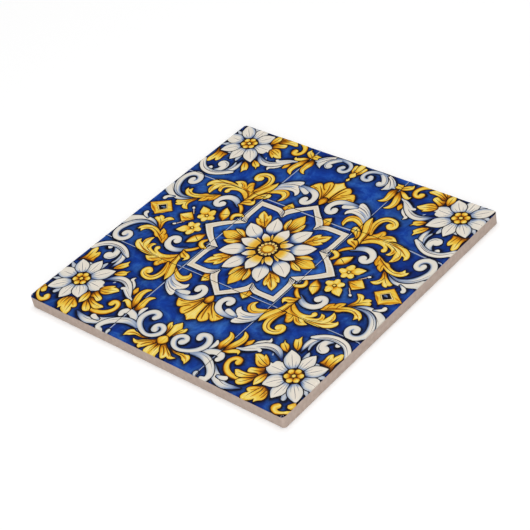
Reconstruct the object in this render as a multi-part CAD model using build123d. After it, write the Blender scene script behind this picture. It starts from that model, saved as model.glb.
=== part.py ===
"""Square ceramic wall tile with a flat decorated face, one fired slab.

Millimetres. The slab lies on its back: +Z up through the decorated face,
X and Y along its sides, origin at the centre of the back.
"""
import os

from build123d import *

# Driving dimensions
side_length = 108.0  # 4 1/4 inch tile format
thickness = 4.75  # 3/16 inch body
corner_radius = 1.2  # rounded corners, seen from above
face_edge_radius = 0.6  # soft roll of the glazed face into the sides
back_edge_radius = 0.3  # pressed edge round the back


def slab_outline():
    return RectangleRounded(side_length, side_length, corner_radius)


def pressed_slab():
    with BuildPart() as slab:
        with BuildSketch():
            add(slab_outline())
        extrude(amount=thickness)
        fillet(slab.faces().sort_by(Axis.Z)[-1].edges(), face_edge_radius)
        fillet(slab.faces().sort_by(Axis.Z)[0].edges(), back_edge_radius)
    return slab.part


os.makedirs("parts", exist_ok=True)
export_step(pressed_slab(), "parts/ceramic_tile.step")
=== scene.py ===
import math
import random
import bpy
import bmesh
from mathutils import Matrix, Vector, kdtree
from mathutils.geometry import interpolate_bezier


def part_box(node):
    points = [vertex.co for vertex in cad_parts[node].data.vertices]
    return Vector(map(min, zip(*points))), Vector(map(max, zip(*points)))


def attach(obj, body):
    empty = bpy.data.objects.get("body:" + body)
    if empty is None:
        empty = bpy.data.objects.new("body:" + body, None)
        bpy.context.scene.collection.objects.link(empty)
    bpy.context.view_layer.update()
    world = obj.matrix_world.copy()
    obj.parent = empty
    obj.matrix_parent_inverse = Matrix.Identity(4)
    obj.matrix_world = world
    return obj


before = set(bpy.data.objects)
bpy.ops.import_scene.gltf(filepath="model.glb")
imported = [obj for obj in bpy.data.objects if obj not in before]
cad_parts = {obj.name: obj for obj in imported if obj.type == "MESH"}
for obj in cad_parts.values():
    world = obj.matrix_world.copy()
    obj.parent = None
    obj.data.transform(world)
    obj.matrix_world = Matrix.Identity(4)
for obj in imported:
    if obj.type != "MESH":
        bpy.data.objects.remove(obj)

random.seed(14)
mm = 0.001
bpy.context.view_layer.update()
tileLow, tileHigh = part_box("ceramic_tile")
print("frame loaded, tile", [round((b - a) / mm, 2) for a, b in zip(tileLow, tileHigh)], "mm")

# the print is drawn in millimetres from its own middle, x to the right and y to the near edge
tileFace = {
    "half": (tileHigh[0] - tileLow[0]) / 2 / mm,
    "top": tileHigh[2] / mm,
    "roll": 0.6,  # soft edge of the glazed face
    "corner": 1.2,  # plan corner
    "rollShare": 0.83,  # how far the glaze runs down the soft edge
    "rollCuts": 3,  # cuts across a stroke that runs down it
}
flatHalf = tileFace["half"] - tileFace["roll"]
glazeReach = flatHalf + tileFace["roll"] * math.pi / 2 * tileFace["rollShare"]
paintLayers = {
    "ground": 0.01,
    "first": 0.02,
    "step": 0.015,  # one level of paint over another
    "fill": 0.004,  # fill over its own outline
    "edge": 0.006,
    "over": 0.008,  # shading strokes over the fill
    "climb": 0.003,  # a scroll's end lies over its start
    "line": 0.012,  # fine lines over the fill
    "body": 0.05,  # thickness of a paint sheet, sunk in the tile
    "outline": 0.34,
}
brushTools = {
    "handle": 0.36,  # curve handles, as a share of the span
    "capSteps": 5, "blunt": 0.03,  # round ends, on strokes at least this wide
    "rows": 4, "weld": 1e-4,
    "shift": 900,  # each stroke takes its marks from another stretch of the brush
    "flowEnd": 0.15, "flowSwell": 0.7,  # fine lines along a stroke, thin at both ends
    "rimLeast": 0.08, "rimRoom": 0.9, "rimShrink": 0.7, "rimFade": 1.6,  # darker rim inside a leaf
    "shadeTone": 0.75, "shadeEdge": -0.62,
    "veinWide": 1.3, "veinPale": 0.85,
    "veinInk": {"white": -0.5, "yellow": 0.78},  # grey lines on white, brown ones on yellow
    "dotRun": 0.02,
}
printFit = {
    "middle": (0.37, 2.62),  # the print's middle on the tile
    "leftWidth": 0.989,  # its left half is a touch narrower
    "leftLean": {1: 0.3, -1: 0.15},  # and leans inward towards the near and far edges
    "leanRows": [(-99, 0), (15, 0), (35, 1), (99, 1)],
    "leanColumns": [(-99, 0), (0, 0), (3, 1), (99, 1)],
    # far rows out of true, in the middle and at the sides
    "farMiddle": [(0, 0.0), (4, -0.35), (19.3, -0.35), (22, -0.15), (28, 0.1), (34, 0.35), (42, 0.9),
                  (60, 0.9)],
    "farSides": [(0, 0.0), (8, -0.1), (15, -0.1), (18, 0.3), (22, 0.75), (28, 0.95), (60, 0.9)],
    "sideColumns": [(0, 0), (19, 0), (23, 1), (99, 1)],
    "sideRows": [(0, 0), (20, 0), (24, 10), (99, 10)],
    "farPinch": 0.4,  # the far scrolls over the star sit a little closer in
    "pinchRows": [(0, 0), (18, 0), (22, 1), (34, 1), (38, 0), (99, 0)],
    "pinchColumns": [(-99, 0), (0, 0), (4, 1), (16, 1), (20, 0), (99, 0)],
    "farEdge": 0.4,  # as those by the left and right edges do
    "edgeRows": [(0, 0), (4, 1), (28, 1), (36, 0), (99, 0)],
    "edgeColumns": [(-99, 0), (42, 0), (46, 1), (99, 1)],
}
mirrored = {  # quarters of the print that a motif is painted in, as side and end
    "all": [(1, 1), (-1, 1), (1, -1), (-1, -1)],
    "near": [(1, 1), (-1, 1)],
    "far": [(1, -1), (-1, -1)],
    "sides": [(1, 1), (-1, 1)],
    "ends": [(1, 1), (1, -1)],
    "nearEnd": [(1, 1)],
    "farEnd": [(1, -1)],
    "one": [(1, 1)],
}
paints = {name: bmesh.new() for name in ("white", "yellow", "line", "joint")}
inked = []  # points on the motifs, for the dark wash round them
scratch = bpy.data.meshes.new("scratch")

# drawing tools


def newSheet():
    sheet = bmesh.new()
    return sheet, sheet.verts.layers.float_vector.new("brush")


def spotTree(spots):
    tree = kdtree.KDTree(len(spots))
    for i, spot in enumerate(spots):
        tree.insert(spot, i)
    tree.balance()
    return tree


def onlyVerts(geometry):
    return [g for g in geometry if isinstance(g, bmesh.types.BMVert)]


def clamp(share):
    return min(max(share, 0), 1)


def alongSteps(steps, place):
    for (a, fromA), (b, fromB) in zip(steps, steps[1:]):
        if place < b:
            return fromA + (fromB - fromA) * (place - a) / (b - a)
    return steps[-1][1]


def smoothPath(points, closed=False, steps=6, corners=()):
    knots = [Vector(p) for p in points]
    count = len(knots)
    path = []
    for i in range(count if closed else count - 1):
        a, b = knots[i], knots[(i + 1) % count]
        before = knots[i - 1] if (i or closed) else a
        after = knots[(i + 2) % count] if (closed or i + 2 < count) else b
        reach = (b - a).length * brushTools["handle"]
        outOf = (b - (a if i in corners else before)).normalized()
        intoB = ((b if (i + 1) % count in corners else after) - a).normalized()
        path.extend(interpolate_bezier(a, a + outOf * reach, b - intoB * reach, b, steps + 1)[:-1])
    if not closed:
        path.append(knots[-1])
    return path


def withRoundEnds(path, grow):
    path = [Vector((p.x, p.y, max(p.z + grow, 0.0))) for p in path]
    steps = brushTools["capSteps"]
    for atStart in (True, False):
        end, inner = (path[0], path[1]) if atStart else (path[-1], path[-2])
        if end.z < brushTools["blunt"]:
            continue
        way = (end - inner).to_2d().normalized()
        cap = []
        for k in range(1, steps + 1):
            turn = math.pi / 2 * k / steps
            tip = end.to_2d() + way * end.z * math.sin(turn)
            cap.append(Vector((tip.x, tip.y, end.z * math.cos(turn))))
        path = cap[::-1] + path if atStart else path + cap
    return path


def drape(x, y, lift):  # down the soft edge where the paint runs past the flat of the face
    roll = tileFace["roll"]
    bend = tileFace["corner"] - roll
    inX, inY = abs(x) - (flatHalf - bend), abs(y) - (flatHalf - bend)
    if inX > 0 and inY > 0:
        way = Vector((inX, inY)).normalized()
        past = math.hypot(inX, inY) - bend
    else:
        way = Vector((1, 0)) if inX > inY else Vector((0, 1))
        past = max(inX, inY) - bend
    if past <= 0:
        return Vector((x, y, tileFace["top"] + lift)) * mm
    way = Vector((math.copysign(way.x, x), math.copysign(way.y, y)))
    turn = min(past / roll, math.pi / 2 * tileFace["rollShare"])
    foot = Vector((x, y)) - way * past
    spot = foot + way * (roll + lift) * math.sin(turn)
    return Vector((spot.x, spot.y, tileFace["top"] - roll + (roll + lift) * math.cos(turn))) * mm


def onTile(x, y, mirror):
    side, end = mirror

    def fit(name, place):
        return alongSteps(printFit[name], place)

    if end < 0 < y:
        toSides = fit("sideColumns", x + fit("sideRows", y))
        pinch = printFit["farPinch"] * fit("pinchRows", y) * fit("pinchColumns", x)
        atEdge = fit("edgeColumns", x) * fit("edgeRows", y)
        y += (1 - toSides) * fit("farMiddle", y) + toSides * fit("farSides", y)
        y -= printFit["farEdge"] * atEdge
        x -= pinch
    if side < 0:
        lean = printFit["leftLean"][end] * fit("leanRows", y)
        x = x * printFit["leftWidth"] - lean * fit("leanColumns", x)
    return printFit["middle"][0] + side * x, printFit["middle"][1] - end * y


def trimAtEdge(sheet):
    if max(max(abs(v.co.x), abs(v.co.y)) for v in sheet.verts) <= flatHalf:
        return
    cuts = tileFace["rollCuts"]
    for way in ((1, 0, 0), (-1, 0, 0), (0, 1, 0), (0, -1, 0)):
        for k in range(cuts + 1):
            spot = Vector(way) * (flatHalf + (glazeReach - flatHalf) * k / cuts)
            bmesh.ops.bisect_plane(sheet, geom=sheet.verts[:] + sheet.edges[:] + sheet.faces[:], dist=1e-6,
                                   plane_co=spot, plane_no=way, clear_outer=k == cuts)


def rank(face):
    x, y, z = face.calc_center_median()
    return x + math.sqrt(2) * y + math.sqrt(3) * z


def setInOrder(sheet):  # an extrude leaves its faces in another order on each run
    sheet.faces.sort(key=rank)


def layDown(sheet, paint, mirror, lift):
    for v in sheet.verts:
        v.co.x, v.co.y = onTile(v.co.x, v.co.y, mirror)
    trimAtEdge(sheet)
    if not sheet.faces:
        sheet.free()
        return
    for v in sheet.verts:
        v.co = drape(v.co.x, v.co.y, lift + v.co.z)
    under = bmesh.ops.extrude_face_region(sheet, geom=sheet.faces[:], use_keep_orig=True)["geom"]
    bmesh.ops.translate(sheet, verts=onlyVerts(under), vec=(0, 0, -paintLayers["body"] * mm))
    bmesh.ops.recalc_face_normals(sheet, faces=sheet.faces[:])
    setInOrder(sheet)
    sheet.to_mesh(scratch)
    paints[paint].from_mesh(scratch)
    sheet.free()


def waysAlong(path):
    ends = [path[0]] + path + [path[-1]]
    return [(b - a).to_2d().normalized() for a, b in zip(ends, ends[2:])]


def bentGrid(path, across, shadeAt, offset):
    sheet, brush = newSheet()
    bmesh.ops.create_grid(sheet, x_segments=len(path) - 1, y_segments=across, size=1)
    along, total = [0.0], 0.0
    for a, b in zip(path, path[1:]):
        total += (b - a).to_2d().length
        along.append(total)
    ways = waysAlong(path)
    for v in sheet.verts:
        i = round((v.co.x + 1) / 2 * (len(path) - 1))
        out, spot, way = v.co.y, path[i], ways[i]
        u = along[i] / total
        v[brush] = (along[i] + offset, out * spot.z, shadeAt(u, out))
        v.co = (spot.x - way.y * out * spot.z, spot.y + way.x * out * spot.z, u * paintLayers["climb"])
    bmesh.ops.remove_doubles(sheet, verts=sheet.verts[:], dist=brushTools["weld"])
    return sheet


def flowLine(path, out, start, stop, wide):
    first, last = round(start * (len(path) - 1)), round(stop * (len(path) - 1))
    line = []
    for i, (spot, way) in enumerate(zip(path, waysAlong(path))):
        if first <= i <= last:
            share = (i - first) / max(last - first, 1)
            swell = brushTools["flowEnd"] + math.sin(math.pi * share) ** brushTools["flowSwell"]
            line.append((spot.x - way.y * out * spot.z, spot.y + way.x * out * spot.z, wide * swell))
    return line


# a spine is a row of x, y and half width; shades run from pale to dark at its root, tip, side and edges
def brushStroke(paint, spine, level=2, copies="all", root=0.0, fade=0.4, tip=0.0, side=0.0, edge=0.35,
                tone=0.0, outline=None, warm=0.0, steps=5, flow=(), over=False, aside=0.0, wider=1.0):
    grow = paintLayers["outline"] if outline is None else outline
    lift = paintLayers["first"] + paintLayers["step"] * level
    drawn = smoothPath(spine, steps=steps)
    path = []
    for p, way in zip(drawn, waysAlong(drawn)):
        path.append(p + Vector((-way.y * aside, way.x * aside, p.z * (wider - 1))))

    def tube(u, out):
        shade = tone + root * max(0, 1 - u / fade) + tip * max(0, (u - 0.5) / 0.5) ** 2 + edge * abs(out) ** 3
        return shade + abs(side) * max(0, out * math.copysign(1, side)) ** 1.5

    def ink(u, out):
        return warm

    for mirror in mirrored[copies]:
        if paint == "line":
            layDown(bentGrid(withRoundEnds(path, 0), 1, ink, 0), paint, mirror, lift + paintLayers["line"])
            continue
        offset = random.uniform(0, brushTools["shift"])
        fill = bentGrid(withRoundEnds(path, 0), brushTools["rows"], tube, offset)
        layDown(fill, paint, mirror, lift + paintLayers["over" if over else "fill"])
        if grow:
            layDown(bentGrid(withRoundEnds(path, grow), 1, ink, 0), "line", mirror, lift)
            inked.extend((*onTile(p.x, p.y, mirror), p.z) for p in path)
    for out, start, stop, wide in flow:
        line = flowLine(path, out, start, stop, wide)
        brushStroke("line", line, level, copies, warm=brushTools["veinInk"][paint], steps=1)


def softEdge(path, width, shadeAt, edge, offset):
    tree = spotTree(path)
    turn = math.copysign(1, sum(a.to_2d().cross(b.to_2d()) for a, b in zip(path, path[1:] + path[:1])))
    least, room = brushTools["rimLeast"], brushTools["rimRoom"]
    inner = []
    for i, p in enumerate(path):
        way = (path[(i + 1) % len(path)] - path[i - 1]).normalized()
        inward = Vector((-way.y, way.x, 0)) * turn
        deep = width
        while deep > least and tree.find(p + inward * deep)[2] < deep * room:
            deep *= brushTools["rimShrink"]
        inner.append(p + inward * deep)
    sheet, brush = newSheet()
    bmesh.ops.create_grid(sheet, x_segments=len(path), y_segments=2, size=1)
    for v in sheet.verts:
        i = round((v.co.x + 1) / 2 * len(path)) % len(path)
        share = (v.co.y + 1) / 2
        v.co = path[i].lerp(inner[i], share)
        v[brush] = shadeAt(v.co.to_2d(), edge * (1 - share) ** brushTools["rimFade"], offset)
    bmesh.ops.remove_doubles(sheet, verts=sheet.verts[:], dist=brushTools["weld"])
    return sheet


# a ring is a row of x and y, with a third value at its corners; base and tip give the way the brush ran
def leafPatch(paint, ring, level=2, copies="all", base=(0, 0), tip=(1, 0), root=0.6, fade=0.8, tone=0.0,
              edge=0.4, soft=0.6, warm=0.0, outline=None, veins=(), shades=()):
    lift = paintLayers["first"] + paintLayers["step"] * level
    corners = [i for i, p in enumerate(ring) if len(p) > 2]
    path = smoothPath([(p[0], p[1], 0.0) for p in ring], closed=True, corners=corners, steps=4)
    base, tip = Vector(base), Vector(tip)
    way, length = (tip - base).normalized(), (tip - base).length
    grow = paintLayers["outline"] if outline is None else outline

    def wash(spot, extra, offset):
        reach = (spot - base).dot(way)
        shade = tone + root * clamp(1 - reach / length / fade) + extra
        return (reach + offset, (spot - base).cross(way), shade)

    for mirror in mirrored[copies]:
        sheet, brush = newSheet()
        loop = bmesh.ops.create_circle(sheet, segments=len(path), radius=1)["verts"]
        offset = random.uniform(0, brushTools["shift"])
        for v, p in zip(loop, path):
            v.co = (p.x, p.y, 0)
            v[brush] = wash(p.to_2d(), 0, offset)
        bmesh.ops.triangle_fill(sheet, use_beauty=True, use_dissolve=False, edges=sheet.edges[:],
                                normal=(0, 0, 1))
        layDown(sheet, paint, mirror, lift + paintLayers["fill"])
        if edge:
            layDown(softEdge(path, soft, wash, edge, offset), paint, mirror, lift + paintLayers["edge"])
        if grow:
            closing = [Vector((p.x, p.y, grow)) for p in path + path[:1]]
            layDown(bentGrid(closing, 1, lambda u, out: warm, 0), "line", mirror, lift)
            inked.extend((*onTile(p.x, p.y, mirror), 0.0) for p in path)
    for spine in shades:
        brushStroke(paint, spine, level, copies, tone=brushTools["shadeTone"], edge=brushTools["shadeEdge"],
                    outline=0, over=True)
    for spine in veins:
        spine = [(x, y, brushTools["veinWide"] * wide) for x, y, wide in spine]
        brushStroke("line", spine, level, copies, warm=brushTools["veinPale"] * brushTools["veinInk"][paint])


def dot(paint, x, y, size, level=3, copies="all", **looks):
    run = size * brushTools["dotRun"]
    brushStroke(paint, [(x - run, y, size), (x + run, y, size)], level, copies, steps=2, **looks)


def acrossX(half):  # half of a ring on one side of the middle line, with its mirror image
    return half + [(p[0], -p[1], *p[2:]) for p in reversed(half[1:-1])]


def acrossY(half):
    return half + [(-p[0], *p[1:]) for p in reversed(half[1:-1])]


# rosette in the middle
rosetteLeaves = {
    "right": dict(level=2, copies="sides", root=1.3, fade=0.45, tone=0.22, spine=[(10.8, 0, 0.7),
        (13, 0, 1.25), (14.6, 0, 1.7), (16.1, 0, 2.2), (17.8, 0, 1.55), (19.8, 0, 0)]),
    "rightSide": dict(level=1, root=1.3, side=0.4, aside=-0.2, flow=[(-0.1, 0.1, 0.8, 0.1)],
        spine=[(10.8, 1.4, 0.4), (12.6, 2.3, 1.05), (14.2, 3.0, 1.2), (15.3, 3.35, 0.75), (16.5, 3.6, 0)]),
    "down": dict(level=2, copies="ends", root=1.3, fade=0.45, tone=0.2, spine=[(0, 10.6, 0.6),
        (0, 12.6, 1.5), (0, 14.4, 1.75), (0, 16.2, 2.2), (0, 17.9, 1.4), (0, 19.8, 0)]),
    "downSide": dict(level=1, root=1.3, side=-0.4, aside=0.2, flow=[(0.1, 0.1, 0.8, 0.1)],
        spine=[(1.3, 10.5, 0.4), (2.3, 12.2, 0.95), (2.8, 13.8, 1.0), (3.0, 15, 0.7), (3.2, 16.1, 0)]),
}
rosettePetals = {
    "long": dict(level=3, root=1.7, fade=0.38, side=-0.12, edge=0.3, flow=[(0, 0.16, 0.78, 0.06)],
        spine=[(6.2, 3.6, 0.8), (8, 4.3, 2.1), (9.9, 5.1, 2.75), (11.6, 6.2, 2.35), (12.9, 7.2, 1.5),
        (14.2, 8.2, 0)]),
    "tall": dict(level=3, root=1.7, fade=0.38, side=0.12, edge=0.3, flow=[(0, 0.12, 0.8, 0.06)],
        spine=[(4.1, 6.8, 0.9), (4.7, 8.3, 2.2), (5.4, 10, 2.7), (6.2, 11.7, 2.2), (6.9, 13, 1.35),
        (7.5, 14.3, 0)]),
    "chipRight": dict(level=3, root=-2.4, fade=1.1, edge=0.2, wider=0.65, spine=[(4.2, 1.6, 0.3),
        (5.5, 2.3, 0.75), (6.6, 2.95, 0.5), (7.3, 3.4, 0)]),
    "chipDown": dict(level=3, root=-2.4, fade=1.1, edge=0.2, wider=0.65, spine=[(2.1, 4.5, 0.2),
        (2.6, 5.5, 0.6), (3.1, 6.3, 0.4), (3.5, 7, 0)]),
    "inner": dict(level=4, root=-2.0, fade=0.8, edge=0.2, spine=[(2.3, 3.0, 0.5), (3.4, 3.9, 1.15),
        (4.7, 4.8, 1.2), (5.6, 5.5, 0.7), (6.3, 6.0, 0)]),
    "right": dict(level=5, copies="sides", root=-2.0, fade=0.66, edge=0.2, spine=[(3.7, 0, 1.1),
        (5.4, 0, 1.8), (7, 0, 2.0), (8.6, 0, 1.85), (10.2, 0, 1.05), (11.5, 0, 0)]),
    "down": dict(level=5, copies="ends", root=-2.0, fade=0.66, edge=0.2, spine=[(0, 3.7, 1.1),
        (0, 5.6, 1.8), (0, 7.4, 2.15), (0, 9, 1.9), (0, 10.2, 1.0), (0, 11.2, 0)]),
}
rosetteLeaf = dict(level=1, base=(8.1, 8.5), tip=(14.3, 15.2), root=1.3, fade=0.5, warm=0.5,
    ring=[(7.9, 8.3, 0), (9.6, 8.4), (11.5, 8.8), (13.1, 9.7), (14.2, 11.1, 0), (13.1, 11.5, 0),
    (14.1, 12.1), (14.6, 13.6), (14.5, 15.3, 0), (13.2, 14.9), (12, 14.2), (11.3, 13.7, 0), (11, 14.6, 0),
    (10.1, 14.1), (9.2, 12.8), (8.7, 11.3), (8.3, 9.8)],
    shades=[[(8.6, 9.2, 0.3), (9.9, 11, 0.7), (10.6, 12.6, 0.35)], [(9.5, 9.2, 0.2), (11.4, 10, 0.45),
    (12.8, 11.4, 0.2)], [(11, 12.2, 0.2), (12.4, 13.4, 0.45), (13.4, 14.3, 0.2)]],
    veins=[[(9, 9.3, 0.17), (11.5, 11.9, 0.14), (13.9, 14.4, 0.03)], [(10.4, 10.5, 0.07),
    (11.7, 10.3, 0.07), (12.9, 10.7, 0.02)], [(10.2, 10.9, 0.07), (9.9, 12.2, 0.07), (10.4, 13.4, 0.02)]])
rosetteRays = {  # dark lines on the leaves: how far out, how far apart, half width
    "apart": (-0.5, 0, 0.5),
    "right": [(11.3, 1, 0.2), (13, 1.4, 0.15), (15.8, 1.8, 0.03)],
    "down": [(11.1, 1, 0.2), (13, 1.4, 0.15), (15.9, 1.8, 0.03)],
}
rosetteRing = {"ring": 4.15, "beadRing": 2.8, "beads": 14, "bead": 0.5, "orange": 2.3, "button": 1.75}
for leaf in rosetteLeaves.values():
    brushStroke("yellow", warm=0.3, **leaf)
leafPatch("yellow", **rosetteLeaf)
for petal in rosettePetals.values():
    brushStroke("white", **petal)
for apart in rosetteRays["apart"]:
    right = [(far, spread * apart, wide) for far, spread, wide in rosetteRays["right"]]
    brushStroke("line", right, 2, "sides", warm=0.55)
    down = [(spread * apart, far, wide) for far, spread, wide in rosetteRays["down"]]
    brushStroke("line", down, 2, "ends", warm=0.55)
dot("line", 0, 0, rosetteRing["ring"], 6, "one", warm=0.4)
for k in range(rosetteRing["beads"]):
    turn = 2 * math.pi * (k + 0.5) / rosetteRing["beads"]
    x, y = rosetteRing["beadRing"] * math.cos(turn), rosetteRing["beadRing"] * math.sin(turn)
    dot("white", x, y, rosetteRing["bead"], 7, "one", tone=-0.65, edge=0.3, outline=0)
dot("yellow", 0, 0, rosetteRing["orange"], 8, "one", tone=0.6, edge=0.3, outline=0.1, warm=0.5)
dot("yellow", 0, 0, rosetteRing["button"], 9, "one", tone=0.1, edge=0.5, outline=0.14, warm=0.5)
print("rosette painted")

# eight-point star
starBand = {
    "square": dict(level=3, base=(18, 8), tip=(8, 18),
        veins=[*([(16.4 + 0.6 * k, 8.1, 0.13), (17.2 + 0.55 * k, 10.2, 0.02)] for k in range(3)),
        *([(7.3 + 0.3 * k, 16.1 + 0.7 * k, 0.13), (9.5, 17.3 + 0.6 * k, 0.02)] for k in range(3))],
        ring=[(15.9, 7.9, 0), (16.7, 9.6), (16.95, 11.2), (16.95, 17.3, 0), (11, 17.3), (9.2, 16.8),
        (7.0, 15.5, 0), (7.9, 18.0, 0), (9.4, 18.8), (10.8, 19.2), (18.75, 19.2, 0), (18.75, 11.2),
        (18.6, 9.6), (18.2, 8.0, 0)]),
    "armRight": dict(level=2, copies="sides", ring=acrossX([(27.8, 0, 0), (24.4, 3.2), (21.8, 5.2),
        (19.9, 6.5), (18.4, 7.9, 0), (15.7, 7.2, 0), (17.6, 5.9), (20.3, 4.0), (22.7, 1.8), (24.4, 0, 0)])),
    "armDown": dict(level=2, copies="ends", ring=acrossY([(0, 26, 0), (3.2, 23.4), (6, 21.2), (7.6, 19.6),
        (8.3, 18.2, 0), (6.7, 15.4, 0), (6.1, 17.6), (4.8, 19.3), (2.9, 21.2), (0, 23.7, 0)])),
}
notchLeaf = dict(level=1, base=(8, 18.6), tip=(8.9, 22.8), root=0.9, warm=0.5, ring=[(7.9, 18.6, 0),
    (9, 19), (10.1, 19.6, 0), (9.9, 21), (8.9, 22.8, 0), (7.3, 21.8), (6.2, 20.4, 0)],
    veins=[[(8.3, 19.4, 0.12), (8.6, 20.6, 0.09), (8.8, 21.8, 0.02)]])
starBuckle = {
    "hook": dict(warm=0.5, level=4, root=0.5, side=-0.4, spine=[(21.5, 6.4, 0.5), (22.05, 7.4, 0.72),
        (22.05, 8.4, 0.78), (21.2, 9.3, 0.75), (20, 9.75, 0.65), (19.1, 9.7, 0.4)]),
    "bead": dict(x=19.5, y=7.5, size=0.55, level=4, tone=0.4, outline=0.15),
    "beadEye": dict(x=19.7, y=7.5, size=0.28, level=5),
}
for band in starBand.values():
    leafPatch("white", root=0, tone=-0.2, edge=0.7, soft=0.65, **band)
leafPatch("yellow", **notchLeaf)
brushStroke("yellow", **starBuckle["hook"])
dot("white", **starBuckle["bead"])
dot("line", **starBuckle["beadEye"])
print("star band painted")

# flowers, buds and jewel of the left and right fields
sideFlower = {
    "middle": (30.5, 3.7), "eye": 0.75, "button": 0.42,
    "petals": [[(30.4, 3.2, 0.5), (30.2, 2.2, 1.35), (30.1, 1.6, 1.0)], [(31, 3.2, 0.5), (31.9, 2.6, 1.2),
        (32.3, 2.3, 1.0)], [(30, 3.6, 0.5), (28.9, 3.4, 1.3), (28, 3.4, 0.95)], [(30.2, 4.2, 0.5),
        (29.9, 5.3, 1.45), (29.9, 6.1, 1.1)], [(31.2, 4.2, 0.5), (32.6, 5.2, 1.65), (33.8, 6.1, 1.1),
        (35, 7, 0)]],
}
sideField = {
    "lensLeaf": dict(level=2, root=1.0, side=-0.7, warm=0.5, spine=[(23.9, 4.1, 0), (24.6, 5.5, 1.15),
        (25.5, 7.3, 1.7), (26.4, 8.9, 1.15), (27.1, 10.4, 0)]),
    "bud": dict(level=2, copies="sides", base=(33, 0), tip=(38, 0), root=0.9, warm=0.5,
        ring=acrossX([(33.2, 0, 0), (34.9, 1.4), (36.5, 2.6, 0), (37.8, 1.6), (39.5, 0, 0)]),
        shades=[[(34.4, 0.7, 0.15), (36.4, 1.2, 0.75), (38.6, 0.4, 0.15)]],
        veins=[[(33.7, 0.1, 0.05), (35.2, 0.3, 0.12), (36.8, 0.3, 0.03)]]),
    "jewel": dict(level=2, copies="sides", base=(43, 0), tip=(55, 0), root=0, tone=0.22, edge=0.5, warm=0.5,
        ring=acrossX([(43.3, 0, 0), (47.8, 4.15, 0), (53.7, 0, 0)]),
        shades=[[(48.2, 3.4, 0.1), (50.4, 1.9, 0.75), (53, 0.3, 0.2)], [(50.6, -0.7, 0.1),
        (51.6, -0.5, 0.5), (53, 0, 0.1)], [(44.4, 0.6, 0.1), (45.9, 2, 0.45), (47.4, 3.5, 0.1)]]),
    "jewelLip": dict(level=3, copies="sides", root=0, tone=-0.5, edge=0, outline=0.12, warm=0.6,
        ring=acrossX([(45.6, 0, 0), (47.8, 2.1, 0), (50.7, 0, 0)])),
    "jewelHeart": dict(level=4, copies="sides", root=0, edge=0, outline=0,
        ring=acrossX([(46, 0, 0), (47.8, 1.75, 0), (50, 0, 0)])),
    "jewelGlint": dict(level=5, copies="sides", tone=0.9, outline=0,
        spine=[(46.9, -0.1, 0.15), (47.5, -0.2, 0.5), (48.3, 0.1, 0.15)]),
    "stamen": dict(level=1, root=-0.9, tip=-0.4, outline=0.15, warm=0.7, spine=[(35.4, 2.4, 0.08),
        (36.4, 3.5, 0.1), (37.3, 4.5, 0.12)]),
    "anther": dict(level=2, tone=0.1, outline=0.2, spine=[(37.5, 4.8, 0.42), (37.8, 5.0, 0.45)]),
    "lensSeam": dict(level=2, warm=0.6, spine=[(26.8, 6.2, 0.05), (25.4, 7.1, 0.15), (23.9, 7.9, 0.05)]),
}
for petal in sideFlower["petals"]:
    brushStroke("yellow", petal, 2, root=0.9, outline=0.22, warm=0.4)
dot("line", *sideFlower["middle"], sideFlower["eye"], 3, warm=0.5)
dot("yellow", *sideFlower["middle"], sideFlower["button"], 4, outline=0)
brushStroke("yellow", **sideField["lensLeaf"])
for name, paint in {"bud": "yellow", "jewel": "yellow", "jewelLip": "white", "jewelHeart": "line"}.items():
    leafPatch(paint, **sideField[name])
for name, paint in {"jewelGlint": "white", "stamen": "white", "anther": "white", "lensSeam": "line"}.items():
    brushStroke(paint, **sideField[name])
print("side fields painted")

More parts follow.
